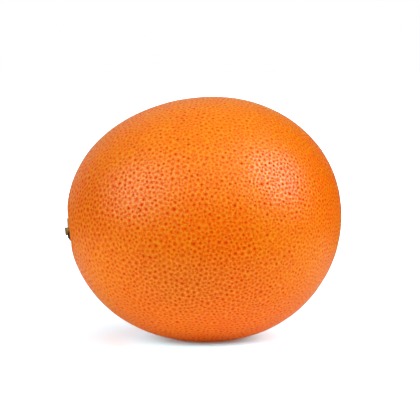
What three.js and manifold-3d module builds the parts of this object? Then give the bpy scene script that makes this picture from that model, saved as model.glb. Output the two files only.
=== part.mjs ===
// A whole pomelo of the orange-skinned kind, lying on its side on a small flat spot.
// Three pieces: the fruit, the dry five-lobed calyx in the dip at its stem end, and the cut stub of its stem.
// Millimetres, +Z up. The stem end points to -X, a little down and a little towards -Y.

import * as THREE from "three";
import { mergeVertices } from "three/addons/utils/BufferGeometryUtils.js";
import Module from "manifold-3d";

// The fruit
const POLAR_LENGTH = 110.6; // blossom end to stem end
const HEIGHT = 98.7; // across the fruit, upright
const DEPTH = 101.4; // across the fruit, level
const SQUARENESS = 2.08; // 2 is an ellipsoid, more is fuller at the shoulders
const RESTING_SPOT_RADIUS = 8;
// Slow swellings of the skin, in waves from pole to pole: one part goes all round, the other lifts the top
// of the fruit where it sinks the underside.
const SWELLINGS = [
  { waves: 2, allRound: 0, topOnly: -0.15 },
  { waves: 3, allRound: -0.3, topOnly: 0.3 },
  { waves: 5, allRound: 0.1, topOnly: 0.1 },
];
const STEM_DIP = { depth: 1.7, width: 5.5 };
const BLOSSOM_DIP = { depth: 0.5, width: 4 };

// How it lies: turns of the stem end from -X
const STEM_YAW = 4; // degrees towards -Y
const STEM_PITCH = 4.8; // degrees down

// The calyx and the stub of the stem
const CALYX_LOBES = 5;
const CALYX_OUTER_RADIUS = 6; // tips of the lobes
const CALYX_INNER_RADIUS = 3.8; // notches between them
const CALYX_THICKNESS = 0.5;
const STUB_RADIUS = 1.6;
const STUB_LENGTH = 1.5;
const STUB_CHAMFER = 0.25;
const GAP = 0.3; // left between pieces that touch

// Fineness of the faceted surfaces
const ROUND_STEPS = 64;
const BODY_RINGS = 30;
const POLE_RINGS = 7;
const POLE_CAP = THREE.MathUtils.degToRad(15); // where the rings stand closer together
const CALYX_RINGS = 5;
const CALYX_STEPS = 60;
const STUB_STEPS = 24;

const skin = new THREE.MeshStandardMaterial({ color: 0xf47b20, roughness: 0.42, metalness: 0 });
const dryCalyx = new THREE.MeshStandardMaterial({ color: 0x6b4f33, roughness: 0.85, metalness: 0 });
const cutStem = new THREE.MeshStandardMaterial({ color: 0xb08f52, roughness: 0.8, metalness: 0 });

const wasm = await Module();
wasm.setup();

function toSolid(geometry) {
  const bare = geometry.clone();
  bare.deleteAttribute("normal");
  bare.deleteAttribute("uv");
  const merged = mergeVertices(bare);
  return new wasm.Manifold(
    new wasm.Mesh({
      numProp: 3,
      vertProperties: new Float32Array(merged.attributes.position.array),
      triVerts: new Uint32Array(merged.index.array),
    }),
  );
}

function toGeometry(solid) {
  const mesh = solid.getMesh();
  const geometry = new THREE.BufferGeometry();
  geometry.setAttribute("position", new THREE.BufferAttribute(mesh.vertProperties, 3));
  geometry.setIndex(new THREE.BufferAttribute(mesh.triVerts, 1));
  geometry.computeVertexNormals();
  return geometry;
}

// A round dip at a pole: how far the skin sinks at this angle from the pole.
function dipDepth(dip, angleFromPole) {
  const across = (angleFromPole * POLAR_LENGTH) / 2 / dip.width;
  return dip.depth * Math.exp(-across * across);
}

// Distance from the fruit's centre to its skin. The polar angle runs from the stem end; round is the angle
// about the axis, 0 at the top of the fruit.
function skinRadius(polar, round) {
  const along = Math.abs(Math.cos(polar)) / (POLAR_LENGTH / 2);
  const across = Math.hypot(
    (Math.sin(polar) * Math.cos(round)) / (HEIGHT / 2),
    (Math.sin(polar) * Math.sin(round)) / (DEPTH / 2),
  );
  let radius = Math.pow(Math.pow(along, SQUARENESS) + Math.pow(across, SQUARENESS), -1 / SQUARENESS);
  const fromBlossom = Math.PI - polar;
  for (const { waves, allRound, topOnly } of SWELLINGS) {
    radius += allRound * Math.cos(waves * fromBlossom);
    radius += topOnly * Math.sin(waves * fromBlossom) * Math.cos(round);
  }
  return radius - dipDepth(STEM_DIP, polar) - dipDepth(BLOSSOM_DIP, fromBlossom);
}

// Polar angles of the rings from pole to pole, closer together over both caps.
function ringAngles() {
  const cap = Array.from({ length: POLE_RINGS }, (_, i) => (i * POLE_CAP) / POLE_RINGS);
  const body = Array.from(
    { length: BODY_RINGS + 1 },
    (_, i) => POLE_CAP + (i * (Math.PI - 2 * POLE_CAP)) / BODY_RINGS,
  );
  return [...cap, ...body, ...cap.map((angle) => Math.PI - angle).reverse()];
}

// A sphere turned from its rings, each vertex then moved out to the skin. The stem end is at +Z and the
// top of the fruit at +X.
function fruitGeometry() {
  const profile = ringAngles()
    .reverse()
    .map((angle) => new THREE.Vector2(Math.sin(angle), Math.cos(angle)));
  profile[0].x = 0;
  profile[profile.length - 1].x = 0;
  const geometry = new THREE.LatheGeometry(profile, ROUND_STEPS).rotateX(Math.PI / 2);
  const position = geometry.attributes.position;
  const direction = new THREE.Vector3();
  for (let i = 0; i < position.count; i += 1) {
    direction.fromBufferAttribute(position, i).normalize();
    const polar = Math.acos(THREE.MathUtils.clamp(direction.z, -1, 1));
    direction.multiplyScalar(skinRadius(polar, Math.atan2(direction.y, direction.x)));
    position.setXYZ(i, direction.x, direction.y, direction.z);
  }
  return geometry;
}

// The turn that lays the fruit's own frame (stem end +Z, top +X) down on its side.
function layingTurn() {
  const stem = new THREE.Vector3(-1, 0, 0)
    .applyAxisAngle(new THREE.Vector3(0, 1, 0), THREE.MathUtils.degToRad(-STEM_PITCH))
    .applyAxisAngle(new THREE.Vector3(0, 0, 1), THREE.MathUtils.degToRad(STEM_YAW));
  const top = new THREE.Vector3(0, 0, 1).projectOnPlane(stem).normalize();
  const side = new THREE.Vector3().crossVectors(stem, top);
  return new THREE.Matrix4().makeBasis(top, side, stem);
}

// The fruit laid down, lowered by the resting spot's depth and cut level there.
function restingFruit(turn) {
  const laid = fruitGeometry().applyMatrix4(turn);
  laid.computeBoundingBox();
  const lowest = laid.boundingBox.min.z;
  const spotDepth = RESTING_SPOT_RADIUS ** 2 / HEIGHT;
  const centreHeight = -lowest - spotDepth;
  laid.translate(0, 0, centreHeight);
  const below = new THREE.BoxGeometry(HEIGHT, HEIGHT, HEIGHT).translate(0, 0, -HEIGHT / 2);
  return { geometry: toGeometry(toSolid(laid).subtract(toSolid(below))), centreHeight };
}

// Height of the skin along the stem, at this distance from the stem's axis.
function skinHeight(distance) {
  const polar = Math.asin(distance / (POLAR_LENGTH / 2));
  const heights = [0, Math.PI / 2, Math.PI].map((round) => skinRadius(polar, round) * Math.cos(polar));
  return Math.max(...heights);
}

// A round plate, drawn in between its lobes and then sunk into the dip. One lobe points down.
function calyxGeometry() {
  const radii = Array.from({ length: CALYX_RINGS }, (_, i) => (i * CALYX_OUTER_RADIUS) / (CALYX_RINGS - 1));
  const underside = radii.map((radius) => new THREE.Vector2(radius, 0));
  const upperSide = radii.reverse().map((radius) => new THREE.Vector2(radius, CALYX_THICKNESS));
  const geometry = new THREE.LatheGeometry([...underside, ...upperSide], CALYX_STEPS).rotateX(Math.PI / 2);
  const position = geometry.attributes.position;
  for (let i = 0; i < position.count; i += 1) {
    const [x, y, z] = [position.getX(i), position.getY(i), position.getZ(i)];
    const lobe = (1 + Math.cos(CALYX_LOBES * Math.atan2(y, -x))) / 2;
    const reach = THREE.MathUtils.lerp(CALYX_INNER_RADIUS, CALYX_OUTER_RADIUS, lobe) / CALYX_OUTER_RADIUS;
    position.setXYZ(i, x * reach, y * reach, z + skinHeight(Math.hypot(x, y) * reach) + GAP);
  }
  return geometry;
}

function stubGeometry() {
  const profile = [
    new THREE.Vector2(0, 0),
    new THREE.Vector2(STUB_RADIUS, 0),
    new THREE.Vector2(STUB_RADIUS, STUB_LENGTH - STUB_CHAMFER),
    new THREE.Vector2(STUB_RADIUS - STUB_CHAMFER, STUB_LENGTH),
    new THREE.Vector2(0, STUB_LENGTH),
  ];
  return new THREE.LatheGeometry(profile, STUB_STEPS).rotateX(Math.PI / 2);
}

function namedMesh(name, geometry, material) {
  const mesh = new THREE.Mesh(geometry, material);
  mesh.name = name;
  return mesh;
}

const turn = layingTurn();
const { geometry, centreHeight } = restingFruit(turn);

const stemEnd = new THREE.Group();
const calyx = namedMesh("calyx", calyxGeometry(), dryCalyx);
const stub = namedMesh("stem_stub", stubGeometry(), cutStem);
stub.position.z = skinHeight(STUB_RADIUS) + GAP + CALYX_THICKNESS + GAP;
stemEnd.add(calyx, stub);
stemEnd.setRotationFromMatrix(turn);
stemEnd.position.z = centreHeight;

const pomelo = new THREE.Group();
pomelo.add(namedMesh("fruit", geometry, skin), stemEnd);

// The origin is on the resting surface, under the middle of the whole object's box.
const middle = new THREE.Box3().setFromObject(pomelo, true).getCenter(new THREE.Vector3());
pomelo.children.forEach((child) => {
  child.position.x -= middle.x;
  child.position.y -= middle.y;
});

export default pomelo;
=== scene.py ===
# A whole orange-skinned pomelo lying on its side: the rind with its oil glands, the dry calyx and the cut
# stub of the stem, on a white floor in soft studio light. The floor and the surroundings are not plain: their
# levels differ by place and by the kind of ray and were tuned for one stage and one view.
#
# The stem frame used all through is the fruit's own: its three axes are the fruit's top, its side and the
# way that the stem points, and its origin is the fruit's centre.
import math

import bpy
import numpy as np
from bpy.props import FloatProperty, FloatVectorProperty, IntProperty, PointerProperty
from mathutils import Matrix, Vector


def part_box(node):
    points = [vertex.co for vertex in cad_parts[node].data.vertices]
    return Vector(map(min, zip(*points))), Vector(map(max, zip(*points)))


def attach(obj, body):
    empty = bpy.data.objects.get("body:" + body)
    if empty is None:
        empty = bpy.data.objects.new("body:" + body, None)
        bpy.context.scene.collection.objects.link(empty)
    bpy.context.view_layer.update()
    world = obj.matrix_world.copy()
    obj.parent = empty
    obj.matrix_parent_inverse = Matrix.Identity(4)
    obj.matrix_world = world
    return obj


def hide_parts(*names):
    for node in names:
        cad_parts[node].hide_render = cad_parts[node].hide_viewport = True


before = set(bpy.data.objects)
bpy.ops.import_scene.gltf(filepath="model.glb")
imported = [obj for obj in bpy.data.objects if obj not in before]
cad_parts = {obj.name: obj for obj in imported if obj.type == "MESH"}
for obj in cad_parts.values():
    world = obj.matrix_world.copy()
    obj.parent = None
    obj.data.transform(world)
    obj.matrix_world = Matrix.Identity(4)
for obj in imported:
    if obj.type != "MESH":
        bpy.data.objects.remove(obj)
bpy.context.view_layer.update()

bl_info = {
    "name": "Pomelo",
    "version": (1, 0, 0),
    "blender": (4, 5, 0),
    "location": "3D View > Sidebar > Pomelo",
    "description": "Builds a whole pomelo around its CAD frame, with a studio stage",
    "category": "Add Mesh",
}

FRUIT_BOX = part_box("fruit")
STUB_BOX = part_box("stem_stub")
BODY = "root"

MM = 0.001
BOX_TOLERANCE = 0.001 * MM


def srgb(red, green, blue):
    """A linear colour from the 0 to 255 values that a colour chart gives."""
    def linear(value):
        value /= 255
        return value / 12.92 if value <= 0.04045 else ((value + 0.055) / 1.055) ** 2.4

    return tuple(linear(value) for value in (red, green, blue))


def size(name, default_mm, description):
    """A length property, kept in metres and given in millimetres."""
    return FloatProperty(
        name=name, description=description, default=default_mm * MM, unit="LENGTH", precision=5, min=0
    )


def share(name, default, description, highest=1.0):
    """A number property from 0 up to its highest value."""
    return FloatProperty(name=name, description=description, default=default, min=0, max=highest)


def angle(name, default_degrees, description):
    """An angle property, kept in radians and given in degrees."""
    return FloatProperty(
        name=name, description=description, default=math.radians(default_degrees), unit="ROTATION"
    )


def colour(name, default, description):
    """A colour property, kept as a linear colour."""
    return FloatVectorProperty(
        name=name, description=description, default=default, subtype="COLOR", size=3, min=0, max=1
    )


def levels(name, default, description):
    """A level each for red, green and blue, where 1 gives back all the light and more makes up for shade."""
    return FloatVectorProperty(name=name, description=description, default=default, min=0, max=6)


# ---- What a user would change ----


class FruitShape(bpy.types.PropertyGroup):
    """The plain shape of the fruit and how it lies, as the CAD model has it."""

    polar_length: size("Length", 110.6, "From the blossom end to the stem end")
    height: size("Height", 98.7, "Across the fruit, upright")
    depth: size("Depth", 101.4, "Across the fruit, level")
    squareness: FloatProperty(
        name="Squareness",
        description="2 is an ellipsoid, more is fuller at the shoulders",
        default=2.08,
        min=1.5,
        max=4,
    )
    stem_dip_depth: size("Stem dip depth", 1.7, "Depth of the dip that the calyx lies in")
    stem_dip_width: size("Stem dip width", 5.5, "Half width of the dip that the calyx lies in")
    blossom_dip_depth: size("Blossom dip depth", 0.5, "Depth of the dip at the blossom end")
    blossom_dip_width: size("Blossom dip width", 4, "Half width of the dip at the blossom end")
    stem_yaw: angle("Stem yaw", 4, "How far the stem end is turned from -X towards -Y")
    stem_pitch: angle("Stem pitch", 4.8, "How far the stem end points down")


class RindLooks(bpy.types.PropertyGroup):
    """The skin: its oil glands, its furrows and its colours."""

    gland_spacing: size("Gland spacing", 1.9, "Least distance between two large oil glands")
    small_gland_spacing: size("Small gland spacing", 1.17, "Least distance from a small gland to any other")
    crowding: share("Crowding", 0.12, "How much closer the glands stand at the blossom end")
    evening_rounds: IntProperty(
        name="Evening rounds", description="Rounds that even out the gland pattern", default=1, min=0, max=5
    )
    pit_share: share("Pit share", 0.38, "Width of a gland's pit as a share of the gland's field")
    pit_depth: size("Pit depth", 0.17, "Depth of the pit over the largest glands")
    pit_shoulder: share("Pit shoulder", 0.15, "Depth at the edge of the pit as a share of the pit's depth")
    unevenness: size("Unevenness", 0.12, "Height of the slow swellings of the skin between groups of glands")
    fine_dot_spacing: size("Fine dot spacing", 1.25, "Distance between the finest dots of the skin")
    seed: IntProperty(name="Seed", description="Seed of the gland pattern", default=7, min=0)
    furrow_depth: size("Furrow depth", 0.35, "Depth of the furrows that run out from the stem end")
    furrow_reach: size("Furrow reach", 11, "How far the furrows run from the stem's axis")
    skin_colour: colour("Skin", srgb(252, 132, 0), "Skin round an oil gland")
    # The ridges' paler, bluer colour is partly the skin's own and partly painted sheen of the wax
    ridge_and_sheen_colour: colour("Ridge", srgb(255, 162, 22), "The paler skin on the ridges between the glands")
    gland_colour: colour("Gland", srgb(221, 59, 0), "The middle of an oil gland")
    deep_colour: colour("Deep skin", srgb(248, 103, 0), "The redder patches of skin")
    russet_colour: colour("Russet skin", srgb(224, 94, 0), "The dull red patches of skin")
    ochre_colour: colour("Ochre skin", srgb(230, 122, 4), "The duller, yellower patches of skin")
    pale_colour: colour("Pale skin", srgb(253, 140, 2), "The bright yellow patches of skin")
    scar_radius: size("Scar radius", 1.5, "Radius of the dry scar at the blossom end")
    scar_height: size("Scar height", 0.25, "How far the scar stands up from its dip")
    scar_colour: colour("Scar", srgb(112, 78, 40), "The dry scar at the blossom end")
    speck_radius: size("Speck radius", 0.24, "Radius of the one dark speck on the front")
    speck_colour: colour("Speck", srgb(52, 44, 22), "The one dark speck on the front")
    roughness: share("Roughness", 0.28, "Roughness of the waxy skin")
    gloss: share("Gloss", 0.21, "Gloss of the skin round the oil glands")
    ridge_gloss: share("Ridge gloss", 0.9, "Gloss of the ridges between the glands")
    gland_gloss: share("Gland gloss", 0.0, "Gloss in the pit of an oil gland")


class StemEndLooks(bpy.types.PropertyGroup):
    """The calyx and the stub of the stem."""

    calyx_radius: size("Calyx radius", 6, "From the stem's axis to the tips of the lobes")
    calyx_notch_radius: size("Calyx notch radius", 2.9, "From the stem's axis to between the lobes")
    calyx_thickness: size("Calyx thickness", 0.45, "Thickness of the calyx halfway along a lobe")
    collar_height: size("Collar height", 0.85, "Height of the calyx's thick middle round the stub")
    rib_height: size("Rib height", 0.22, "Height of the rib along the middle of each lobe")
    tip_lift: size("Tip lift", 0.05, "How far the dry tips of the lobes curl up")
    # The dark lobes at the lower front carry the calyx's painted shade
    dark_tip_lift: size("Dark tip lift", 0.8, "How much more the dark lobes at the lower front curl up")
    stub_radius: size("Stub radius", 1.6, "Radius of the stub of the stem")
    stub_hollow: size("Stub hollow", 0.22, "Depth of the hollow in the middle of the cut face")
    bark_ridge: size("Bark ridge", 0.09, "Height of the ridges down the stub's side")
    calyx_colour: colour("Calyx", srgb(192, 154, 116), "The dry upper lobes of the calyx")
    # The colour that the calyx's painted shade and its dark streaks mix in
    calyx_dark_and_shade_colour: colour("Dark calyx", srgb(46, 22, 12), "The dark lower lobes and the folds")
    wood_colour: colour("Wood", srgb(196, 156, 84), "The side and the fibres of the stub")
    # The colour of the cut face's dark rim and pith, which the stub's painted shade mixes in as well
    cut_edge_and_shade_colour: colour("Cut edge", srgb(76, 48, 26), "The dark rim and the pith of the stub's cut face")


class StageLooks(bpy.types.PropertyGroup):
    """The floor, the lights and the camera."""

    camera_distance: size("Camera distance", 750, "From the camera to the fruit's centre")
    camera_elevation: angle("Camera elevation", 5, "How far above level the camera stands")
    camera_right: size("Camera right", 2.04, "How far the camera is moved to its right")
    camera_up: size("Camera up", 3.58, "How far the camera is moved upwards")
    focal_length: FloatProperty(
        name="Focal length", description="Focal length on a 36 mm wide sensor", default=159.46, unit="CAMERA"
    )
    light_level: FloatProperty(
        name="Light level", description="Strength of all the lamps and panels", default=1.0, min=0
    )
    floor_glow: share("Floor glow", 0.03, "Light that the floor adds where the camera sees it")
    # These levels for the camera, by place, paint the shadow's colour and width; the shadow itself is
    # rendered
    floor_seen: levels("Floor, seen", (1.5, 1.85, 2.05), "Level of the open floor for the camera")
    floor_seen_near: levels(
        "Floor near the fruit, seen", (1.22, 1.79, 2.06), "The same level where the shadow fades"
    )
    floor_seen_under: levels(
        "Floor under the fruit, seen", (1.22, 3.52, 4.8), "The same level by the resting spot"
    )
    ambient: share("Ambient", 0.235, "Level of the even light that comes from all round")
    floor_fill: colour("Floor fill", (0.09, 0.035, 0.0), "Warm light between the fruit and the floor")
    floor_bounce: share("Floor, bounced", 0.95, "Level of the near floor for the light it throws back", 4)
    far_bounce: share("Far floor, bounced", 0.55, "Level of the far floor for the same light")
    floor_gloss: share("Floor in the gloss", 0.5, "Level of the near floor in the fruit's gloss")
    far_gloss: share("Far floor in the gloss", 0.05, "Level of the far floor in the fruit's gloss")


def settings():
    """All that is set on the pomelo, from the scene."""
    return bpy.context.scene.pomelo_settings


# ---- Node trees and meshes ----


def add_node(tree, kind, inputs=None, **fields):
    """Adds a node, sets its fields, and links or sets each of its inputs."""
    node = tree.nodes.new(kind)
    for field, value in fields.items():
        setattr(node, field, value)
    for key, value in (inputs or {}).items():
        socket = node.inputs[key]
        if isinstance(value, bpy.types.NodeSocket):
            tree.links.new(value, socket)
        else:
            socket.default_value = value
    return node


def calculate(tree, operation, *values):
    """The result of one sum on numbers."""
    return add_node(tree, "ShaderNodeMath", dict(enumerate(values)), operation=operation).outputs[0]


def calculate_vector(tree, operation, *values):
    """The result of one sum on vectors: a number for a length or a product, else a vector."""
    node = add_node(tree, "ShaderNodeVectorMath", dict(enumerate(values)), operation=operation)
    return node.outputs["Value" if operation in {"LENGTH", "DISTANCE", "DOT_PRODUCT"} else "Vector"]


def scale_vector(tree, vector, factor):
    """A vector made longer or shorter."""
    node = add_node(tree, "ShaderNodeVectorMath", {"Vector": vector, "Scale": factor}, operation="SCALE")
    return node.outputs[0]


def remap(tree, value, from_low, from_high, to_low=0.0, to_high=1.0, smooth=True):
    """value carried from one range to another and held inside it."""
    limits = {"From Min": from_low, "From Max": from_high, "To Min": to_low, "To Max": to_high}
    kind = "SMOOTHSTEP" if smooth else "LINEAR"
    node = add_node(tree, "ShaderNodeMapRange", {"Value": value, **limits}, interpolation_type=kind)
    return node.outputs["Result"]


def mix_colours(tree, factor, first, second):
    """The first colour at factor 0, and the second at 1."""
    return add_node(tree, "ShaderNodeMix", {0: factor, 6: first, 7: second}, data_type="RGBA").outputs[2]


def mix_numbers(tree, factor, first, second):
    """The first number at factor 0, and the second at 1."""
    return add_node(tree, "ShaderNodeMix", {0: factor, 2: first, 3: second}, data_type="FLOAT").outputs[0]


def noise(tree, place, feature_size, detail=2.0, roughness=0.5):
    """Noise from about 0 to 1 with features of about that size, in metres."""
    inputs = {"Vector": place, "Scale": 1 / feature_size, "Detail": detail, "Roughness": roughness}
    return add_node(tree, "ShaderNodeTexNoise", inputs).outputs[0]


def opaque(rgb):
    """A colour with full cover, as a node's socket takes it."""
    return (*rgb, 1.0)


def object_place(tree):
    """Where a point of the piece is."""
    return add_node(tree, "ShaderNodeTexCoord").outputs["Object"]


def add_bump(tree, shader, strength, distance, height):
    """Gives a shader's surface a fine relief."""
    inputs = {"Strength": strength, "Distance": distance, "Height": height}
    bump = add_node(tree, "ShaderNodeBump", inputs)
    tree.links.new(bump.outputs[0], shader.inputs["Normal"])


def new_material(name):
    """A material with a Principled shader, as (material, node tree, shader)."""
    material = bpy.data.materials.new(name)
    material.use_nodes = True
    tree = material.node_tree
    return material, tree, tree.nodes["Principled BSDF"]


def ring_mesh(name, start, rings, end):
    """A closed mesh from rings of points between two end points, with its faces outwards."""
    count, steps = rings.shape[:2]
    points = np.vstack([start[None], rings.reshape(-1, 3), end[None]])
    last = len(points) - 1
    index = 1 + np.arange(count * steps).reshape(count, steps)
    following = np.roll(index, -1, axis=1)
    quads = np.stack([index[:-1], index[1:], following[1:], following[:-1]], axis=-1).reshape(-1, 4)
    fans = [(0, a, b) for a, b in zip(index[0], following[0])]
    fans += [(last, b, a) for a, b in zip(index[-1], following[-1])]
    mesh = bpy.data.meshes.new(name)
    mesh.from_pydata(points.tolist(), [], quads.tolist() + [tuple(map(int, fan)) for fan in fans])
    corners = points[quads]
    volume = np.einsum("ij,ij->", corners[:, 0], np.cross(corners[:, 1], corners[:, 2]))
    volume += np.einsum("ij,ij->", corners[:, 0], np.cross(corners[:, 2], corners[:, 3]))
    if volume < 0:
        mesh.flip_normals()
    mesh.shade_smooth()
    mesh.validate()
    return mesh


def add_piece(name, mesh, material=None):
    """An object for a mesh, in the scene."""
    piece = bpy.data.objects.new(name, mesh)
    bpy.context.scene.collection.objects.link(piece)
    if material:
        mesh.materials.append(material)
    return piece


def check_inside(piece, box):
    """Stops the script if a piece reaches out of a box."""
    points = np.empty(len(piece.data.vertices) * 3, np.float32)
    piece.data.vertices.foreach_get("co", points)
    points = points.reshape(-1, 3)
    if len(points) == 0:
        raise RuntimeError(f"{piece.name} is empty")
    low, high = points.min(0), points.max(0)
    if (low < np.array(box[0]) - BOX_TOLERANCE).any() or (high > np.array(box[1]) + BOX_TOLERANCE).any():
        raise RuntimeError(f"{piece.name} reaches out of its box: {low} {high}")


def hand_over(piece, node):
    """The piece stands for a CAD node and rides on the object's one body."""
    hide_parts(node)
    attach(piece, BODY)


# ---- The shape of the fruit ----

# Slow swellings of the skin, in waves from pole to pole: (waves, all round, lifted at the top), in metres
SWELLINGS = ((2, 0.0, -0.15 * MM), (3, -0.3 * MM, 0.3 * MM), (5, 0.1 * MM, 0.1 * MM))
ROUND_STEPS = 256
CAP_RINGS = 36
BODY_RINGS = 110
CAP_ANGLE = math.radians(17)
SKIN_INSET = 0.03 * MM  # keeps the skin inside the CAD box between its corners
SPOT_SOFTNESS = 0.35 * MM  # how gently the skin meets the flat spot that the fruit rests on
CENTRE_STEPS = (181, 361)  # samples from pole to pole and all round, to find the fruit's middle
# Furrows at the stem end: each one's depth, its number all round, how far it follows the wander, its start
FURROWS = ((0.5, 9, 1.0, 0.4), (0.35, 14, -0.6, 1.9), (0.25, 5, 0.3, 4.1))
FURROW_WANDER = 0.35  # radians that a furrow strays to either side
FURROW_WANDER_WAVES = 9
FURROW_WANDER_START = 2
FURROW_RISE = 0.3  # share of the furrows' reach over which they begin
FURROW_END = 1.35  # share of their reach where they have gone
FURROW_FADE = 1.5
FURROW_WIDENING = 0.2


def dip(depth, width, angle_from_pole, length):
    """How far a round dip sinks the skin at this angle from its pole."""
    return depth * np.exp(-((angle_from_pole * length / 2 / width) ** 2))


def plain_radius(shape, polar, round_angle):
    """Distance from the fruit's centre to its smooth skin.

    polar runs from the stem end, and round_angle from the top.
    """
    along = np.abs(np.cos(polar)) / (shape.polar_length / 2)
    across = np.hypot(
        np.sin(polar) * np.cos(round_angle) / (shape.height / 2),
        np.sin(polar) * np.sin(round_angle) / (shape.depth / 2),
    )
    radius = (along**shape.squareness + across**shape.squareness) ** (-1 / shape.squareness)
    from_blossom = np.pi - polar
    for waves, all_round, lifted in SWELLINGS:
        radius = radius + all_round * np.cos(waves * from_blossom)
        radius = radius + lifted * np.sin(waves * from_blossom) * np.cos(round_angle)
    radius = radius - dip(shape.stem_dip_depth, shape.stem_dip_width, polar, shape.polar_length)
    return radius - dip(shape.blossom_dip_depth, shape.blossom_dip_width, from_blossom, shape.polar_length)


def stem_axes(shape):
    """The stem frame's axes as the columns of a matrix: top, side, stem."""
    stem = Vector((-1, 0, 0))
    stem = Matrix.Rotation(-shape.stem_pitch, 3, "Y") @ stem
    stem = Matrix.Rotation(shape.stem_yaw, 3, "Z") @ stem
    up = Vector((0, 0, 1))
    top = (up - up.dot(stem) * stem).normalized()
    side = stem.cross(top)
    return np.array([top, side, stem], float).T


def directions(polar, round_angle):
    """Unit vectors in the stem frame."""
    across = np.sin(polar)
    along = np.cos(polar) + 0 * round_angle
    return np.stack([across * np.cos(round_angle), across * np.sin(round_angle), along], axis=-1)


def fruit_centre(shape):
    """Where the fruit's centre is, from the CAD fruit's box: its middle level, and its top upright."""
    down, round_steps = CENTRE_STEPS
    turns = np.linspace(0, np.pi, down), np.linspace(0, 2 * np.pi, round_steps)
    polar, round_angle = np.meshgrid(*turns, indexing="ij")
    points = plain_radius(shape, polar, round_angle)[..., None] * directions(polar, round_angle)
    points = points.reshape(-1, 3) @ stem_axes(shape).T
    low, high = points.min(0), points.max(0)
    box_low, box_high = (np.array(corner) for corner in FRUIT_BOX)
    centre = (box_low + box_high) / 2 - (low + high) / 2
    centre[2] = box_high[2] - high[2]
    return centre


def skin_point(shape, polar, round_angle):
    """Where the smooth skin is in this direction from the fruit's centre, in the row frame."""
    point = plain_radius(shape, polar, round_angle) * directions(np.array(polar), np.array(round_angle))
    return tuple(point @ stem_axes(shape).T + fruit_centre(shape))


def furrows(looks, polar, round_angle, length):
    """How far the furrows that run out from the stem end sink the skin."""
    reach = looks.furrow_reach / (length / 2)
    rise = np.clip(polar / (FURROW_RISE * reach), 0, 1)
    window = rise * np.clip(FURROW_END - polar / reach, 0, 1) ** FURROW_FADE
    wander = FURROW_WANDER * np.sin(FURROW_WANDER_WAVES * polar + FURROW_WANDER_START)
    pattern = sum(
        depth * np.cos(number * (round_angle + follows * wander) + start)
        for depth, number, follows, start in FURROWS
    )
    return looks.furrow_depth * window * np.clip(pattern + FURROW_WIDENING, 0, 1)


def soften_resting_spot(points):
    """Lifts what is below the floor to a level spot with a soft edge."""
    height = points[:, 2]
    lifted = (height + np.sqrt(height**2 + SPOT_SOFTNESS**2)) / 2
    points[:, 2] = lifted - lifted.min()
    return points


def smooth_fruit_mesh(shape, looks, centre):
    """The fruit's skin without its glands, in the row frame."""
    cap = np.linspace(0, CAP_ANGLE, CAP_RINGS, endpoint=False)[1:]
    body = np.linspace(CAP_ANGLE, np.pi - CAP_ANGLE, BODY_RINGS)
    rings = np.concatenate([cap, body, (np.pi - cap)[::-1]])
    turn = np.arange(ROUND_STEPS) * 2 * np.pi / ROUND_STEPS
    polar, round_angle = np.meshgrid(rings, turn, indexing="ij")

    def skin(polar, round_angle):
        radius = plain_radius(shape, polar, round_angle) - SKIN_INSET
        radius = radius - furrows(looks, polar, round_angle, shape.polar_length)
        radius = radius + dip(looks.scar_height, looks.scar_radius, np.pi - polar, shape.polar_length)
        return radius[..., None] * directions(polar, round_angle)

    poles = skin(np.array([0.0, np.pi]), np.zeros(2))
    points = np.vstack([poles[:1], skin(polar, round_angle).reshape(-1, 3), poles[1:]])
    points = soften_resting_spot(points @ stem_axes(shape).T + centre)
    return ring_mesh("smooth_fruit", points[0], points[1:-1].reshape(*polar.shape, 3), points[-1])


# ---- The rind ----


SCATTER_DENSITY = 6.0e6  # points a square metre before the spacing thins them
MERGE_DISTANCE = 1e-6  # on the unit ball
FULL_FIELD_SHARE = 0.62  # a large gland's field radius as a share of the gland spacing
PIT_BY_FIELD = (0.55, 1.0, 0.35, 1.0)  # shares of a full field, and of the pit's depth that they get
PIT_BY_CHANCE = (0.0, 1.0, 0.7, 1.0)
SWELLING_SIZE = 7 * MM
SWELLING_RANGE = (0.2, 0.8)


def capture(tree, geometry, domain, items):
    """Keeps values on a mesh, each given as (name, kind, value), and gives the node's outputs."""
    node = add_node(tree, "GeometryNodeCaptureAttribute", {"Geometry": geometry}, domain=domain)
    for name, kind, _ in items:
        node.capture_items.new(kind, name)
    for name, _, value in items:
        tree.links.new(value, node.inputs[name])
    return node.outputs


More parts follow.
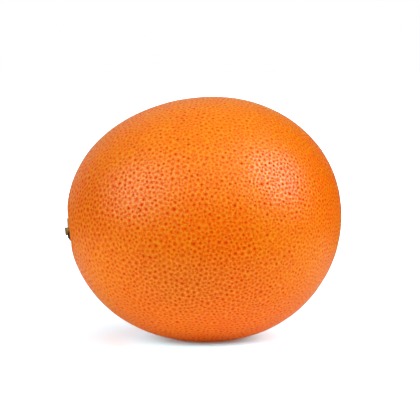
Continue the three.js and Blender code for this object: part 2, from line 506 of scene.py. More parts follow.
def rind_tree():
    """Geometry Nodes that cover a smooth fruit with oil glands, each with its own pit.

    Points scattered over the skin, large glands first and small ones between them, are joined into a net on
    a unit ball round the fruit's centre. Its dual is one cell for each gland. Each cell gets a ring and a
    middle, and all of it is then laid back on the skin and sunk to the pits' depth.
    """
    tree = bpy.data.node_groups.new("oil_glands", "GeometryNodeTree")
    sockets = (
        ("Fruit", "Geometry"),
        ("Centre", "Vector"),
        ("Gland Spacing", "Float"),
        ("Small Gland Spacing", "Float"),
        ("Crowding", "Vector"),
        ("Evening Rounds", "Int"),
        ("Pit Share", "Float"),
        ("Pit Depth", "Float"),
        ("Pit Shoulder", "Float"),
        ("Unevenness", "Float"),
        ("Seed", "Int"),
        ("Material", "Material"),
    )
    for name, kind in sockets:
        tree.interface.new_socket(name, in_out="INPUT", socket_type=f"NodeSocket{kind}")
    tree.interface.new_socket("Rind", in_out="OUTPUT", socket_type="NodeSocketGeometry")
    given = add_node(tree, "NodeGroupInput").outputs
    position = add_node(tree, "GeometryNodeInputPosition").outputs[0]

    def scatter(spacing, seed):
        """Points over the whole skin, none closer to another than the spacing."""
        limits = {"Distance Min": spacing, "Density Max": SCATTER_DENSITY, "Seed": seed}
        inputs = {"Mesh": given["Fruit"], **limits}
        node = add_node(tree, "GeometryNodeDistributePointsOnFaces", inputs, distribute_method="POISSON")
        return node.outputs["Points"]

    large = scatter(given["Gland Spacing"], given["Seed"])
    small = scatter(given["Small Gland Spacing"], calculate(tree, "ADD", given["Seed"], 1.0))
    near_large = add_node(tree, "GeometryNodeProximity", {"Target": large}, target_element="POINTS")
    crowded = add_node(
        tree,
        "FunctionNodeCompare",
        {"A": near_large.outputs["Distance"], "B": given["Small Gland Spacing"]},
        data_type="FLOAT",
        operation="LESS_THAN",
    )
    inputs = {"Geometry": small, "Selection": crowded.outputs[0]}
    fitting = add_node(tree, "GeometryNodeDeleteGeometry", inputs, domain="POINT")
    scattered = add_node(tree, "GeometryNodeJoinGeometry")
    tree.links.new(large, scattered.inputs[0])
    tree.links.new(fitting.outputs[0], scattered.inputs[0])

    # the net on the unit ball, evened out by taking each cell's middle in place of its point
    from_centre = calculate_vector(tree, "SUBTRACT", position, given["Centre"])
    on_ball = calculate_vector(tree, "NORMALIZE", from_centre)
    on_ball = calculate_vector(tree, "ADD", on_ball, given["Crowding"])
    on_ball = calculate_vector(tree, "NORMALIZE", on_ball)
    inputs = {"Geometry": scattered.outputs[0], "Position": on_ball}
    balled = add_node(tree, "GeometryNodeSetPosition", inputs)
    net = add_node(tree, "GeometryNodeConvexHull", {0: balled.outputs[0]})
    repeat_in = tree.nodes.new("GeometryNodeRepeatInput")
    repeat_out = tree.nodes.new("GeometryNodeRepeatOutput")
    repeat_in.pair_with_output(repeat_out)
    tree.links.new(given["Evening Rounds"], repeat_in.inputs["Iterations"])
    tree.links.new(net.outputs[0], repeat_in.inputs["Geometry"])
    cells = add_node(tree, "GeometryNodeDualMesh", {0: repeat_in.outputs["Geometry"]})
    middles = add_node(tree, "GeometryNodeDualMesh", {0: cells.outputs[0]})
    outward = calculate_vector(tree, "NORMALIZE", position)
    inputs = {"Geometry": middles.outputs[0], "Position": outward}
    evened = add_node(tree, "GeometryNodeSetPosition", inputs)
    tree.links.new(evened.outputs[0], repeat_out.inputs["Geometry"])
    fields = add_node(tree, "GeometryNodeDualMesh", {0: repeat_out.outputs["Geometry"]})

    # what each gland keeps: its middle, its size and its chance
    area = add_node(tree, "GeometryNodeInputMeshFaceArea").outputs[0]
    chance = add_node(tree, "FunctionNodeRandomValue", {"Seed": given["Seed"]}, data_type="FLOAT").outputs[1]
    items = (("Middle", "VECTOR", position), ("Area", "FLOAT", area), ("Chance", "FLOAT", chance))
    captured = capture(tree, fields.outputs[0], "FACE", items)
    middle, area, chance = (captured[name] for name in ("Middle", "Area", "Chance"))

    def sink(geometry, selection, value):
        """Keeps how deep these points lie, as a share of the pit's depth."""
        inputs = {"Geometry": geometry, "Selection": selection, "Name": "sink", "Value": value}
        options = {"data_type": "FLOAT", "domain": "POINT"}
        return add_node(tree, "GeometryNodeStoreNamedAttribute", inputs, **options).outputs[0]

    def inner_ring(geometry, selection, scale, depth):
        """Insets these faces to a scale and gives their new points a depth."""
        inputs = {"Mesh": geometry, "Selection": selection, "Offset Scale": 0.0, "Individual": True}
        extruded = add_node(tree, "GeometryNodeExtrudeMesh", inputs, mode="FACES")
        inset = add_node(
            tree,
            "GeometryNodeScaleElements",
            {"Geometry": extruded.outputs["Mesh"], "Selection": extruded.outputs["Top"], "Scale": scale},
            domain="FACE",
            scale_mode="UNIFORM",
        )
        return sink(inset.outputs[0], extruded.outputs["Top"], depth), extruded.outputs["Top"]

    flat = sink(captured["Geometry"], True, 0.0)
    ringed, top = inner_ring(flat, True, given["Pit Share"], given["Pit Shoulder"])
    pointed, top = inner_ring(ringed, top, 0.0, 1.0)
    inputs = {"Geometry": pointed, "Selection": top, "Distance": MERGE_DISTANCE}
    merged = add_node(tree, "GeometryNodeMergeByDistance", inputs)

    def on_skin(direction):
        """Where the skin is in this direction from the fruit's centre, and its smooth normal there."""
        normal = add_node(tree, "GeometryNodeInputNormal").outputs[0]
        outside = calculate_vector(tree, "ADD", given["Centre"], direction)
        inwards = scale_vector(tree, direction, -1.0)
        inputs = {
            "Target Geometry": given["Fruit"],
            "Attribute": normal,
            "Source Position": outside,
            "Ray Direction": inwards,
            "Ray Length": 1.0,
        }
        options = {"data_type": "FLOAT_VECTOR", "mapping": "INTERPOLATED"}
        hit = add_node(tree, "GeometryNodeRaycast", inputs, **options)
        return hit.outputs["Hit Position"], hit.outputs["Attribute"]

    # laid back on the skin
    point, normal = on_skin(outward)
    items = (("Point", "VECTOR", point), ("Normal", "VECTOR", normal))
    laid = capture(tree, merged.outputs[0], "POINT", items)
    middle_point, _ = on_skin(calculate_vector(tree, "NORMALIZE", middle))
    middles = capture(tree, laid["Geometry"], "FACE", (("Middle", "VECTOR", middle_point),))
    inputs = {"Geometry": middles["Geometry"], "Position": laid["Point"]}
    placed = add_node(tree, "GeometryNodeSetPosition", inputs).outputs[0]

    # what the skin's finish reads: the way from the gland's middle, the gland's reach and its tone
    distance = calculate_vector(tree, "DISTANCE", middles["Middle"], given["Centre"])
    radius_on_ball = calculate(tree, "SQRT", calculate(tree, "DIVIDE", area, math.pi))
    field_radius = calculate(tree, "MULTIPLY", radius_on_ball, distance)
    from_middle = calculate_vector(tree, "SUBTRACT", position, middles["Middle"])
    for name, kind, domain, value in (
        ("gland_offset", "FLOAT_VECTOR", "CORNER", from_middle),
        ("gland_field", "FLOAT", "FACE", field_radius),
        ("gland_chance", "FLOAT", "FACE", chance),
    ):
        inputs = {"Geometry": placed, "Name": name, "Value": value}
        node = add_node(tree, "GeometryNodeStoreNamedAttribute", inputs, data_type=kind, domain=domain)
        placed = node.outputs[0]

    # sunk: each pit by its gland's size and chance, and the whole skin by its slow swellings
    kept = add_node(tree, "GeometryNodeInputNamedAttribute", {"Name": "sink"}, data_type="FLOAT")
    full_field = calculate(tree, "MULTIPLY", given["Gland Spacing"], FULL_FIELD_SHARE)
    fullness = calculate(tree, "DIVIDE", field_radius, full_field)
    pit = calculate(tree, "MULTIPLY", kept.outputs["Attribute"], given["Pit Depth"])
    pit = calculate(tree, "MULTIPLY", pit, remap(tree, fullness, *PIT_BY_FIELD, smooth=False))
    pit = calculate(tree, "MULTIPLY", pit, remap(tree, chance, *PIT_BY_CHANCE, smooth=False))
    swelling = noise(tree, position, SWELLING_SIZE, detail=1.0)
    swelling = remap(tree, swelling, *SWELLING_RANGE, smooth=False)
    swelling = calculate(tree, "MULTIPLY", swelling, given["Unevenness"])
    depth = calculate(tree, "ADD", pit, swelling)
    offset = scale_vector(tree, laid["Normal"], calculate(tree, "MULTIPLY", depth, -1.0))
    sunk = add_node(tree, "GeometryNodeSetPosition", {"Geometry": placed, "Offset": offset})

    smoothed = add_node(tree, "GeometryNodeSetShadeSmooth", {"Geometry": sunk.outputs[0]})
    real = add_node(tree, "GeometryNodeRealizeInstances", {0: smoothed.outputs[0]})
    finished = add_node(
        tree, "GeometryNodeSetMaterial", {"Geometry": real.outputs[0], "Material": given["Material"]}
    )
    add_node(tree, "NodeGroupOutput", {0: finished.outputs[0]})
    return tree


def bake_modifiers(piece):
    """Turns what the piece's modifiers make into its plain mesh and removes them."""
    depsgraph = bpy.context.evaluated_depsgraph_get()
    mesh = bpy.data.meshes.new_from_object(
        piece.evaluated_get(depsgraph), preserve_all_data_layers=True, depsgraph=depsgraph
    )
    plain = piece.data
    piece.modifiers.clear()
    piece.data = mesh
    mesh.name = piece.name
    bpy.data.meshes.remove(plain)


# Soft patches where the skin has another tone: the middle, how far it reaches, the colour and its strength
TONES = (
    ((-46 * MM, -28 * MM, 57 * MM), 30 * MM, "russet_colour", 0.9),
    ((-10 * MM, -44 * MM, 27 * MM), 28 * MM, "ochre_colour", 1.0),
    ((-39 * MM, -30 * MM, 28 * MM), 20 * MM, "pale_colour", 0.7),
    ((10 * MM, -49 * MM, 46 * MM), 20 * MM, "deep_colour", 0.35),
    ((49 * MM, -16 * MM, 66 * MM), 38 * MM, "deep_colour", 1.0),
    ((39 * MM, -32 * MM, 32 * MM), 22 * MM, "pale_colour", 0.8),
    ((12 * MM, -39 * MM, 79 * MM), 30 * MM, "pale_colour", 0.8),
    ((4 * MM, -34 * MM, 12 * MM), 20 * MM, "deep_colour", 0.2),
)
# How far into a patch its tone starts and is full, as shares of its reach, and how ragged its edge is
TONE_EDGE = (0.7, -0.2)
TONE_RAGGEDNESS = -0.5

SPECK_POLAR = math.radians(58.4)
SPECK_ROUND_ANGLE = math.radians(-76.4)

# The finish of the skin. An EDGE holds where something starts to show and where it is full. A BY holds a
# range, and the range that it gives.
GRAIN_SIZE = 0.5 * MM
WOBBLE_SIZE = 0.8 * MM  # features of the noise that makes the dots uneven
WOBBLE_REACH = 0.5 * MM
DOT_REACH_BY_CHANCE = (0.0, 1.0, 0.3, 0.46)  # a dot's radius is this share of its gland's field
DOT_BY_CHANCE = (0.2, 1.0, 0.4, 1.0)
DOT_BY_FIELD = (0.7 * MM, 1.1 * MM, 0.85, 1.0)
DOT_EDGE = (1.0, 0.5)  # in dot radii
FINE_DOT_EDGE = (0.5, 0.15)  # in dot spacings
FINE_DOT_STRENGTH = 0.4
RIDGE_EDGE = (0.45, 1.0)  # in field radii
RIDGE_BY_GRAIN = (0.4, 0.6, 0.3, 1.0)
RED_BY_GRAIN = (0.5, 0.3, 0.0, 0.75)
PATCH_SIZE = 30 * MM
DEEP_BY_PATCH = (0.4, 0.65, 0.0, 0.5)
DULL_SIZE = 17 * MM
OCHRE_BY_DULL = (0.55, 0.8, 0.0, 0.4)
SCAR_EDGE = (1.6, 1.1)  # in scar radii
SCAR_STRENGTH = 0.9
SPECK_EDGE = (1.6, 1.0)  # in speck radii
MATT_DOT_EDGE = (0.0, 0.6)
SKIN_DEPTH = 0.1 * MM  # how deep light goes into the wax, the farthest for red
SKIN_DEPTH_SHARES = (1.0, 0.5, 0.25)
BUMP_DEPTH = 0.13 * MM
BUMP_PIT_EDGE = (0.6, 0.15)  # in field radii
BUMP_FINE_SIZE = 0.45 * MM
BUMP_FINE_SHARE = 0.5
BUMP_FINE_DOT_SHARE = -0.5


def attribute(tree, name, output="Fac"):
    """What the piece's mesh keeps under a name."""
    return add_node(tree, "ShaderNodeAttribute", attribute_name=name).outputs[output]


def rind_material(shape, looks):
    """Waxy citrus skin: an orange ground in soft patches, with a redder dot in each gland's pit."""
    material, tree, shader = new_material("waxy_rind")
    place = object_place(tree)
    grain = noise(tree, place, GRAIN_SIZE, detail=1.0)

    # the dots: a red one in each gland's pit, and finer ones between them, which leave pale ridges
    field = attribute(tree, "gland_field")
    chance = attribute(tree, "gland_chance")
    inputs = {"Vector": place, "Scale": 1 / WOBBLE_SIZE, "Detail": 1.0}
    wobble = add_node(tree, "ShaderNodeTexNoise", inputs).outputs["Color"]
    wobble = calculate_vector(tree, "SUBTRACT", wobble, (0.5, 0.5, 0.5))
    wobble = scale_vector(tree, wobble, WOBBLE_REACH)
    offset = calculate_vector(tree, "ADD", attribute(tree, "gland_offset", "Vector"), wobble)
    nearness = calculate(tree, "DIVIDE", calculate_vector(tree, "LENGTH", offset), field)
    dot_reach = remap(tree, chance, *DOT_REACH_BY_CHANCE, smooth=False)
    dot = remap(tree, calculate(tree, "DIVIDE", nearness, dot_reach), *DOT_EDGE)
    fullness = remap(tree, field, *DOT_BY_FIELD, smooth=False)
    strength = calculate(tree, "MULTIPLY", fullness, remap(tree, chance, *DOT_BY_CHANCE))
    inputs = {"Vector": place, "Scale": 1 / looks.fine_dot_spacing}
    fine_dots = add_node(tree, "ShaderNodeTexVoronoi", inputs)
    fine_dot = remap(tree, fine_dots.outputs["Distance"], *FINE_DOT_EDGE)
    fine_dot = calculate(tree, "MULTIPLY", fine_dot, calculate(tree, "SUBTRACT", 1.0, dot))
    ridge = remap(tree, nearness, *RIDGE_EDGE)
    ridge = calculate(tree, "MULTIPLY", ridge, remap(tree, grain, *RIDGE_BY_GRAIN))

    # the colour: slow patches of redder and duller skin, a fine grain, the dots, the scar and the speck
    patches = noise(tree, place, PATCH_SIZE, detail=3.0)
    dull = noise(tree, place, DULL_SIZE, detail=4.0, roughness=0.6)
    layers = [
        (remap(tree, patches, *DEEP_BY_PATCH), looks.deep_colour),
        (remap(tree, dull, *OCHRE_BY_DULL), looks.ochre_colour),
    ]
    for middle, reach, tone, strongest in TONES:
        apart = calculate_vector(tree, "DISTANCE", place, middle)
        apart = calculate(tree, "MULTIPLY_ADD", dull, TONE_RAGGEDNESS * reach, apart)
        start, full = (share_of_reach * reach for share_of_reach in TONE_EDGE)
        layers.append((remap(tree, apart, start, full, 0.0, strongest), getattr(looks, tone)))
    from_scar = calculate_vector(tree, "DISTANCE", place, skin_point(shape, math.pi, 0.0))
    from_scar = calculate(tree, "MULTIPLY_ADD", grain, looks.scar_radius, from_scar)
    start, full = (radii * looks.scar_radius for radii in SCAR_EDGE)
    scar = remap(tree, from_scar, start, full, 0.0, SCAR_STRENGTH)
    speck_place = skin_point(shape, SPECK_POLAR, SPECK_ROUND_ANGLE)
    from_speck = calculate_vector(tree, "DISTANCE", place, speck_place)
    speck = remap(tree, from_speck, *(radii * looks.speck_radius for radii in SPECK_EDGE))
    layers += [
        (remap(tree, grain, *RED_BY_GRAIN), looks.gland_colour),
        # the pale ridges: partly the skin's own colour, partly painted sheen of the wax
        (ridge, looks.ridge_and_sheen_colour),
        (calculate(tree, "MULTIPLY", fine_dot, FINE_DOT_STRENGTH), looks.gland_colour),
        (calculate(tree, "MULTIPLY", dot, strength), looks.gland_colour),
        (scar, looks.scar_colour),
        (speck, looks.speck_colour),
    ]
    skin = opaque(looks.skin_colour)
    for cover, tint in layers:
        skin = mix_colours(tree, cover, skin, opaque(tint))
    tree.links.new(skin, shader.inputs["Base Color"])

    # the wax: glossy on the ridges, matt in the pits, on the scar and on the speck
    gloss = mix_numbers(tree, ridge, looks.gloss, looks.ridge_gloss)
    gloss = mix_numbers(tree, remap(tree, dot, *MATT_DOT_EDGE, smooth=False), gloss, looks.gland_gloss)
    gloss = mix_numbers(tree, calculate(tree, "MAXIMUM", scar, speck), gloss, 0.0)
    tree.links.new(gloss, shader.inputs["Specular IOR Level"])
    shader.inputs["Specular IOR Level"].default_value = looks.gloss
    shader.inputs["Roughness"].default_value = looks.roughness
    shader.inputs["Subsurface Weight"].default_value = 1.0
    shader.inputs["Subsurface Radius"].default_value = SKIN_DEPTH_SHARES
    shader.inputs["Subsurface Scale"].default_value = SKIN_DEPTH

    # the relief, finer than the mesh
    pit = calculate(tree, "MULTIPLY", remap(tree, nearness, *BUMP_PIT_EDGE), -1.0)
    pit = calculate(tree, "MULTIPLY", pit, strength)
    fine = noise(tree, place, BUMP_FINE_SIZE, detail=2.0)
    height = calculate(tree, "MULTIPLY_ADD", fine, BUMP_FINE_SHARE, pit)
    height = calculate(tree, "MULTIPLY_ADD", fine_dot, BUMP_FINE_DOT_SHARE, height)
    add_bump(tree, shader, 1.0, BUMP_DEPTH, height)
    return material


class POMELO_OT_rind(bpy.types.Operator):
    """Build the rind with its oil glands around the CAD fruit"""

    bl_idname = "pomelo.rind"
    bl_label = "Rind"

    def execute(self, context):
        shape, looks = settings().shape, settings().rind
        centre = fruit_centre(shape)
        rind = add_piece("rind", smooth_fruit_mesh(shape, looks, centre))
        values = {
            "Centre": centre,
            "Gland Spacing": looks.gland_spacing,
            "Small Gland Spacing": looks.small_gland_spacing,
            "Crowding": stem_axes(shape)[:, 2] * -looks.crowding,
            "Evening Rounds": looks.evening_rounds,
            "Pit Share": looks.pit_share,
            "Pit Depth": looks.pit_depth,
            "Pit Shoulder": looks.pit_shoulder,
            "Unevenness": looks.unevenness,
            "Seed": looks.seed,
            "Material": rind_material(shape, looks),
        }
        modifier = rind.modifiers.new("oil_glands", "NODES")
        modifier.node_group = rind_tree()
        for socket in modifier.node_group.interface.items_tree:
            if socket.in_out == "INPUT" and socket.name in values:
                modifier[socket.identifier] = values[socket.name]
        bake_modifiers(rind)
        check_inside(rind, FRUIT_BOX)
        hand_over(rind, "fruit")
        return {"FINISHED"}


# ---- The calyx and the stub of the stem ----

STEM_END_STEPS = 240
SEAT = 0.04 * MM  # left between the smooth skin and the calyx

CALYX_RINGS = 40
LOBES = 5
LOBE_TURNS = [math.pi + lobe * math.tau / LOBES for lobe in range(LOBES)]  # one lobe points down
LOBE_FULLNESS = 0.8  # below 1 the lobes are rounder
DARK_SIDE_TURN = math.radians(232)  # low on the front
DARK_SIDE_WIDTH = 0.65  # radians
DARK_SIDE_NOTCH = 0.6 * MM  # how much shallower the notches are there
TIP_REACH = 0.81  # of the calyx's radius, on the whole
TIP_RISE = 0.21  # how much longer the lobes are at the top than that, and shorter below
TIP_UNEVENNESS = 0.05
CRINKLES = ((0.02, 23, 1), (0.015, 37, 2))  # each one's height, its number all round and its start
CURL_UNEVENNESS = 0.1 * MM
VEIN_HEIGHT = 0.07 * MM
VEINS = 31
VEIN_BEND = 4
RIB_WIDTH = 0.45 * MM
COLLAR_WIDTH = 1.7 * MM  # past the stub
THINNING = (0.7, 4)  # how much thinner the edge is, and how late the calyx thins towards it
# Painted shade on the calyx: its low front, its folds, between its veins and underneath; also darker at its
# edge
SHADED_SIDE_PAINTED_SHADE = 1.6
DARK_SIDE_START = 3  # the higher, the nearer to the stem it is full
FOLD_PAINTED_SHADE = 0.55
FOLD_START = 1.6
EDGE_SHADE = (0.15, 12)
VEIN_PAINTED_SHADE = 1.2 / MM
UNDER_PAINTED_SHADE = 0.2

FACE_RINGS = 14
FACE_EDGE = 0.94  # of the stub's radius, where its cut face ends
SIDE_RINGS = 22
WAIST = 0.12 * MM
FOOT_SPREAD = 0.25 * MM
FIBRE_HEIGHT = 0.035 * MM
FIBRES = 40
SLANT = (0.07 * MM, 0.6)  # of the cut, and the turn at which it is highest
FACE_DROP = 0.2 * MM  # keeps the cut face below the CAD stub's tip
SIDE_DROP = 0.22 * MM


def dry_plant_material(name, colour, dark_colour, streak_size):
    """Dry plant matter, darker in fine streaks and where the mesh's shade says so, which holds its own darker
    parts and painted shade.
    """
    material, tree, shader = new_material(name)
    place = object_place(tree)
    streaks = noise(tree, place, streak_size, detail=4.0, roughness=0.65)
    mottle = noise(tree, place, 4 * streak_size, detail=2.0)
    by_streak = remap(tree, streaks, 0.4, 0.7, -0.12, 0.3)
    by_mottle = remap(tree, mottle, 0.4, 0.65, -0.1, 0.2)
    darkness = calculate(tree, "ADD", attribute(tree, "shade"), by_streak)
    darkness = remap(tree, calculate(tree, "ADD", darkness, by_mottle), 0.0, 1.0, smooth=False)
    tint = mix_colours(tree, darkness, opaque(colour), opaque(dark_colour))
    tree.links.new(tint, shader.inputs["Base Color"])
    shader.inputs["Roughness"].default_value = 0.8
    shader.inputs["Specular IOR Level"].default_value = 0.3
    add_bump(tree, shader, 0.8, 0.08 * MM, streaks)
    return material


def skin_height(shape, across, turn):
    """Height of the smooth skin along the stem, this far from the stem's axis."""
    polar = np.arcsin(np.clip(across / (shape.polar_length / 2), 0, 1))
    return plain_radius(shape, polar, turn) * np.cos(polar)


def bump_at(value, middle, width):
    """A smooth bump of height 1 about a middle value."""
    return np.exp(-(((value - middle) / width) ** 2))


def turn_from(turn, middle):
    """Angle from a middle, from -pi to pi."""
    return (turn - middle + math.pi) % math.tau - math.pi


def turn_from_rib(turn):
    """Angle from the middle of the nearest lobe."""
    turns = np.array([turn_from(turn, middle) for middle in LOBE_TURNS])
    return np.take_along_axis(turns, np.abs(turns).argmin(0)[None], 0)[0]


def stem_end_turns():
    """The turns round the stem's axis at which the meshes of the stem end have points."""
    return np.arange(STEM_END_STEPS) * math.tau / STEM_END_STEPS


def stem_end_mesh(name, shape, across, along, shade):
    """A closed mesh of rings round the stem's axis, from the middle of its top to that of its underside.

    across and along hold a row for each ring, whose first and last rows close the mesh on the axis.
    """
    turn = stem_end_turns()
    points = np.stack([across * np.cos(turn), across * np.sin(turn), along], -1)
    points = points @ stem_axes(shape).T + fruit_centre(shape)
    mesh = ring_mesh(name, points[0].mean(0), points[1:-1], points[-1].mean(0))
    shades = np.concatenate([[shade[0].mean()], shade[1:-1].ravel(), [shade[-1].mean()]])
    mesh.attributes.new("shade", "FLOAT", "POINT").data.foreach_set("value", shades.astype(np.float32))
    return mesh


def calyx_mesh(shape, looks):
    """The five-lobed calyx: a ribbed star that follows the skin, with a collar and curled tips."""
    turn = stem_end_turns()
    from_rib = turn_from_rib(turn)
    shaded_side = bump_at(turn_from(turn, DARK_SIDE_TURN), 0, DARK_SIDE_WIDTH)
    lobe = np.cos(from_rib * LOBES / 2) ** 2
    tip = TIP_REACH + TIP_RISE * np.cos(turn) + TIP_UNEVENNESS * np.sin(2 * turn + 1)
    tip = looks.calyx_radius * tip
    crinkle = 1 + sum(height * np.sin(number * turn + start) for height, number, start in CRINKLES)
    notch = looks.calyx_notch_radius + DARK_SIDE_NOTCH * shaded_side
    edge = (notch + (tip - notch) * lobe**LOBE_FULLNESS) * crinkle
    share = np.linspace(0, 1, CALYX_RINGS)[:, None]
    across = share * edge
    skin = skin_height(shape, across, turn)
    curl = (looks.tip_lift + CURL_UNEVENNESS * np.sin(3 * turn)) * lobe
    lift = (curl + looks.dark_tip_lift * shaded_side) * share**2
    veins = VEIN_HEIGHT * np.sin(VEINS * turn + VEIN_BEND * np.sin(3 * turn)) * np.sin(math.pi * share)
    rib = looks.rib_height * bump_at(from_rib * across, 0, RIB_WIDTH) * np.sin(math.pi * share) ** 0.5
    collar = looks.collar_height * bump_at(across, 0, looks.stub_radius + COLLAR_WIDTH)
    thinner, late = THINNING
    thickness = looks.calyx_thickness * (1 - thinner * share**late)
    top = skin + SEAT + thickness + lift + veins + rib + collar
    under = skin + SEAT + lift
    # painted shade: on the shaded low front, in the folds between the lobes and in the grooves between the
    # veins
    fold = FOLD_PAINTED_SHADE * np.cos(from_rib * LOBES / 2 + math.pi / 2) ** 2 * share
    dark = SHADED_SIDE_PAINTED_SHADE * shaded_side * np.clip(DARK_SIDE_START * share, 0, 1)
    dark = dark + fold * np.clip(FOLD_START * share, 0, 1)
    strength, late = EDGE_SHADE
    dark = np.clip(dark + strength * share**late - VEIN_PAINTED_SHADE * veins, 0, 1)
    return stem_end_mesh(
        "calyx_lobes",
        shape,
        np.vstack([across, across[::-1]]),
        np.vstack([top, under[::-1]]),
        # the underside gets more painted shade
        np.vstack([dark, np.clip(dark[::-1] + UNDER_PAINTED_SHADE, 0, 1)]),
    )


class POMELO_OT_calyx(bpy.types.Operator):
    """Build the dry five-lobed calyx in the dip at the stem end"""

    bl_idname = "pomelo.calyx"
    bl_label = "Calyx"

    def execute(self, context):
        shape, looks = settings().shape, settings().stem_end
        material = dry_plant_material("dry_calyx", looks.calyx_colour, looks.calyx_dark_and_shade_colour, 0.35 * MM)
        calyx = add_piece("calyx_lobes", calyx_mesh(shape, looks), material)
        hand_over(calyx, "calyx")
        return {"FINISHED"}


def stub_top(shape, looks):
    """Distance from the fruit's centre to the stub's cut face, from the CAD stub's tip."""
    stem = stem_axes(shape)[:, 2]
    reach = fruit_centre(shape)[0] - STUB_BOX[0][0]
    return (reach - looks.stub_radius * math.sqrt(1 - stem[0] ** 2)) / -stem[0]


def stub_mesh(shape, looks):
    """The cut stub: a ridged, slightly waisted pin with a hollow, fibrous cut face."""
    turn = stem_end_turns()
    high = stub_top(shape, looks)
    low = float(skin_height(shape, 0.0, 0.0)) + SEAT
    ridges = 0.6 * np.sin(11 * turn + 0.7) + 0.4 * np.sin(18 * turn + 2 * np.sin(2 * turn))
    face = np.linspace(0, FACE_EDGE, FACE_RINGS)[:, None]
    side = np.linspace(0, 1, SIDE_RINGS)[:, None]
    rim = looks.stub_radius + 0.5 * looks.bark_ridge * ridges
    waist = -WAIST * np.sin(math.pi * side) + FOOT_SPREAD * side**3
    side_across = looks.stub_radius + waist + looks.bark_ridge * ridges * (0.5 + 0.5 * side)
    fibres = FIBRE_HEIGHT * np.sin(FIBRES * turn + 3 * face) * face
    hollow = looks.stub_hollow * (bump_at(face, 0, 0.35) - 0.5 * bump_at(face, 0.72, 0.16))
    height, highest = SLANT
    slant = height * np.cos(turn - highest)
    face_along = high - FACE_DROP + slant * face - hollow + fibres
    side_along = high - SIDE_DROP + slant + (low - high + SIDE_DROP) * side

    # how dark: the pith, the cut face's edge, the rim above and below, and painted shade at the foot and in
    # the furrows
    face_dark = 0.35 + 0.6 * bump_at(face, 0, 0.2) + 0.45 * bump_at(face, 1, 0.12) + 0 * turn
    rim_dark = bump_at(side, 0, 0.2) * (0.3 + 0.9 * np.abs(np.cos(turn)))
    # painted shade at the foot, where the stub meets the calyx, and in the furrows between the bark ridges
    side_dark_and_shade = rim_dark + 0.5 * bump_at(side, 1, 0.2) - 0.22 * ridges
    closing = np.zeros_like(turn)[None]
    return stem_end_mesh(
        "stem_cut",
        shape,
        np.vstack([face * rim, side_across, closing]),
        np.vstack([face_along, side_along, closing + low]),
        np.clip(np.vstack([face_dark, side_dark_and_shade, closing + 1]), 0, 1),
    )


class POMELO_OT_stem_stub(bpy.types.Operator):
    """Build the cut stub of the stem in the middle of the calyx"""

    bl_idname = "pomelo.stem_stub"
    bl_label = "Stem stub"

    def execute(self, context):
        shape, looks = settings().shape, settings().stem_end
        material = dry_plant_material("stem_wood", looks.wood_colour, looks.cut_edge_and_shade_colour, 0.3 * MM)
        hand_over(add_piece("stem_cut", stub_mesh(shape, looks), material), "stem_stub")
        return {"FINISHED"}


# ---- The stage ----

FLOOR_RADIUS = 8.0
FLOOR_STEPS = 96
FLOOR_SHEET_MIDDLE = (-0.045, 0.02, 0.0)  # the part of the floor that throws light back
FLOOR_SHEET_FLATNESS = (0.45, 1.0, 1.0)  # it reaches further to the sides than to the front and the back
FLOOR_SHEET_EDGE = (0.16, 0.09)  # where its level fades, from its middle
# The floor's levels for the camera paint the shadow's colour and width around this middle
SHADOW_MIDDLE = (-0.002, 0.0, 0.0)  # the middle of the shadow on the floor
SHADOW_FLATNESS = (1.0, 0.8, 1.0)  # it reaches a little further to the front and the back
SHADOW_CORE = (0.036, 0.01)  # from where its light turns orange, inwards
SHADOW_EDGE = (0.036, 0.06)  # where it has faded, outwards
# Each lamp: its name, how far it stands to the right of the camera and above level, how wide it is, all in
# degrees, and its strength, where 1 would light a surface that faces it fully
LAMPS = (
    ("right_softbox", 70, 35, 40, 0.47),
    ("right_softbox_top", 70, 52, 40, 0.15),
    ("right_softbox_foot", 70, 18, 40, 0.07),
    ("left_softbox", -57, 32, 50, 0.35),
    ("left_softbox_edge", -52, 28, 70, 0.09),
    ("high_fill", 15, 50, 60, 0.12),
    ("back_softbox", 180, 60, 60, 0.03),
)
# Each soft panel of the studio round the fruit: where it stands, as a lamp does, and its level
PANELS = (
    (0, 90, 0.08),
    (-60, 5, 0.09),
    (-120, 45, 0.11),
    (-165, 5, 0.36),
)
PANEL_EDGE = (math.cos(math.radians(48)), math.cos(math.radians(12)))  # soft, from its outside in
SENSOR_WIDTH_MM = 36
FARTHEST_SEEN = 100


def floor_mesh():
    """A large level disc."""
    turn = np.arange(FLOOR_STEPS) * math.tau / FLOOR_STEPS
    points = np.stack([FLOOR_RADIUS * np.cos(turn), FLOOR_RADIUS * np.sin(turn), 0 * turn], -1)
    mesh = bpy.data.meshes.new("floor")
    mesh.from_pydata(points.tolist(), [], [tuple(range(FLOOR_STEPS))])
    return mesh


def distance_on_floor(tree, place, middle, flatness):
    """Distance from a middle on the floor, in rings that are flatter one way than the other."""
    away = calculate_vector(tree, "SUBTRACT", place, middle)
    return calculate_vector(tree, "LENGTH", calculate_vector(tree, "MULTIPLY", away, flatness))


def floor_seen_colour(tree, place, looks):
    """Level of the floor for the camera, tinted by place: it paints the shadow's grey and width, taking its
    orange cast off.
    """
    away = distance_on_floor(tree, place, SHADOW_MIDDLE, SHADOW_FLATNESS)
    fading = remap(tree, away, *SHADOW_EDGE)
    beside = mix_colours(tree, fading, opaque(looks.floor_seen_near), opaque(looks.floor_seen))
    under = remap(tree, away, *SHADOW_CORE)
    return mix_colours(tree, under, beside, opaque(looks.floor_seen_under))


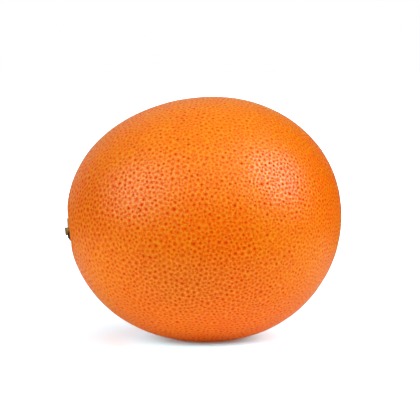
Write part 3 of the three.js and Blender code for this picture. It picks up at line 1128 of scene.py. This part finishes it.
def floor_material(looks):
    """White floor that is not plain: its level is tinted by place for the camera and differs by place for
    bounced light and for the gloss, and it gives off a faint warm light for all rays but the camera's."""
    material, tree, shader = new_material("floor")
    rays = add_node(tree, "ShaderNodeLightPath").outputs
    place = object_place(tree)
    away = distance_on_floor(tree, place, FLOOR_SHEET_MIDDLE, FLOOR_SHEET_FLATNESS)
    bounce = remap(tree, away, *FLOOR_SHEET_EDGE, looks.far_bounce, looks.floor_bounce)
    gloss = remap(tree, away, *FLOOR_SHEET_EDGE, looks.far_gloss, looks.floor_gloss)
    level = mix_numbers(tree, rays["Is Glossy Ray"], bounce, gloss)
    seen = floor_seen_colour(tree, place, looks)
    level = mix_colours(tree, rays["Is Camera Ray"], level, seen)
    matt = add_node(tree, "ShaderNodeBsdfDiffuse", {"Color": level})
    seen_glow = opaque([looks.floor_glow] * 3)
    glow = mix_colours(tree, rays["Is Camera Ray"], opaque(looks.floor_fill), seen_glow)
    glow = add_node(tree, "ShaderNodeEmission", {"Color": glow})
    surface = add_node(tree, "ShaderNodeAddShader", {0: matt.outputs[0], 1: glow.outputs[0]})
    tree.links.new(surface.outputs[0], tree.nodes["Material Output"].inputs["Surface"])
    tree.nodes.remove(shader)
    return material


def direction(right_degrees, up_degrees):
    """The way to a lamp or a panel, from how far it stands to the right of the camera and above level."""
    right, up = math.radians(right_degrees), math.radians(up_degrees)
    return Vector((math.sin(right) * math.cos(up), -math.cos(right) * math.cos(up), math.sin(up)))


def studio_world(looks):
    """White for camera and transmission rays. Other rays see soft panels and an even light, and glossy rays
    see the panels only, so the gloss does not show the white background."""
    world = bpy.data.worlds.new("studio")
    world.use_nodes = True
    tree = world.node_tree
    background = tree.nodes["Background"]
    rays = add_node(tree, "ShaderNodeLightPath").outputs
    way = add_node(tree, "ShaderNodeTexCoord").outputs["Generated"]
    level = calculate(tree, "MULTIPLY_ADD", rays["Is Glossy Ray"], -looks.ambient, looks.ambient)
    for right, up, strength in PANELS:
        facing = calculate_vector(tree, "DOT_PRODUCT", way, direction(right, up))
        panel = remap(tree, facing, *PANEL_EDGE, 0.0, strength * looks.light_level)
        level = calculate(tree, "ADD", panel, level)
    plain = calculate(tree, "MAXIMUM", rays["Is Camera Ray"], rays["Is Transmission Ray"])
    level = mix_numbers(tree, plain, level, 1.0)
    tree.links.new(level, background.inputs["Strength"])
    background.inputs["Color"].default_value = (1, 1, 1, 1)
    return world


def aim(obj, way):
    """Turns a lamp or a camera so that it looks along a direction, with its top upwards."""
    obj.rotation_euler = Vector(way).to_track_quat("-Z", "Y").to_euler()


def add_lamp(name, right_degrees, up_degrees, width_degrees, strength):
    """A softbox far away, as a wide sun that shines on the fruit."""
    lamp = bpy.data.lights.new(name, "SUN")
    lamp.energy = strength * math.pi
    lamp.angle = math.radians(width_degrees)
    softbox = bpy.data.objects.new(name, lamp)
    bpy.context.scene.collection.objects.link(softbox)
    aim(softbox, -direction(right_degrees, up_degrees))


def add_camera(looks, target):
    """A camera in front of the fruit, moved a little within its own picture plane."""
    elevation = looks.camera_elevation
    back = Vector((0, -math.cos(elevation), math.sin(elevation)))
    camera = bpy.data.objects.new("camera", bpy.data.cameras.new("camera"))
    camera.data.sensor_width = SENSOR_WIDTH_MM
    camera.data.lens = looks.focal_length
    camera.data.clip_end = FARTHEST_SEEN
    bpy.context.scene.collection.objects.link(camera)
    aim(camera, -back)
    right = Vector((1, 0, 0))
    up = back.cross(right)
    camera.location = Vector(target) + back * looks.camera_distance
    camera.location += right * looks.camera_right + up * looks.camera_up
    bpy.context.scene.camera = camera


class POMELO_OT_stage(bpy.types.Operator):
    """Set up the floor, the lights, the world and the camera"""

    bl_idname = "pomelo.stage"
    bl_label = "Stage"

    def execute(self, context):
        looks = settings().stage
        add_piece("floor", floor_mesh(), floor_material(looks))
        for name, right, up, width, strength in LAMPS:
            add_lamp(name, right, up, width, strength * looks.light_level)
        context.scene.world = studio_world(looks)
        context.scene.view_settings.view_transform = "Standard"
        add_camera(looks, fruit_centre(settings().shape))
        return {"FINISHED"}


# ---- Registration ----


class PomeloSettings(bpy.types.PropertyGroup):
    """All that can be set on the pomelo and its stage."""

    shape: PointerProperty(type=FruitShape)
    rind: PointerProperty(type=RindLooks)
    stem_end: PointerProperty(type=StemEndLooks)
    stage: PointerProperty(type=StageLooks)


class POMELO_PT_sidebar(bpy.types.Panel):
    """The sizes, colours and steps of the pomelo"""

    bl_label = "Pomelo"
    bl_idname = "POMELO_PT_sidebar"
    bl_space_type = "VIEW_3D"
    bl_region_type = "UI"
    bl_category = "Pomelo"

    def draw(self, context):
        for title, group, operators in (
            ("Fruit", "shape", ()),
            ("Rind", "rind", (POMELO_OT_rind,)),
            ("Stem end", "stem_end", (POMELO_OT_calyx, POMELO_OT_stem_stub)),
            ("Stage", "stage", (POMELO_OT_stage,)),
        ):
            box = self.layout.box()
            box.label(text=title)
            values = getattr(settings(), group)
            for name in values.__annotations__:
                box.prop(values, name)
            for operator in operators:
                box.operator(operator.bl_idname)


CLASSES = (
    FruitShape,
    RindLooks,
    StemEndLooks,
    StageLooks,
    PomeloSettings,
    POMELO_OT_rind,
    POMELO_OT_calyx,
    POMELO_OT_stem_stub,
    POMELO_OT_stage,
    POMELO_PT_sidebar,
)


def register():
    """Make the settings, the operators and the panel known."""
    for cls in CLASSES:
        bpy.utils.register_class(cls)
    bpy.types.Scene.pomelo_settings = PointerProperty(type=PomeloSettings)


def unregister():
    """Take them away again."""
    del bpy.types.Scene.pomelo_settings
    for cls in reversed(CLASSES):
        bpy.utils.unregister_class(cls)


def main():
    """Build the pomelo and its stage."""
    register()
    bpy.ops.pomelo.rind()
    bpy.ops.pomelo.calyx()
    bpy.ops.pomelo.stem_stub()
    bpy.ops.pomelo.stage()


if __name__ == "__main__":
    main()
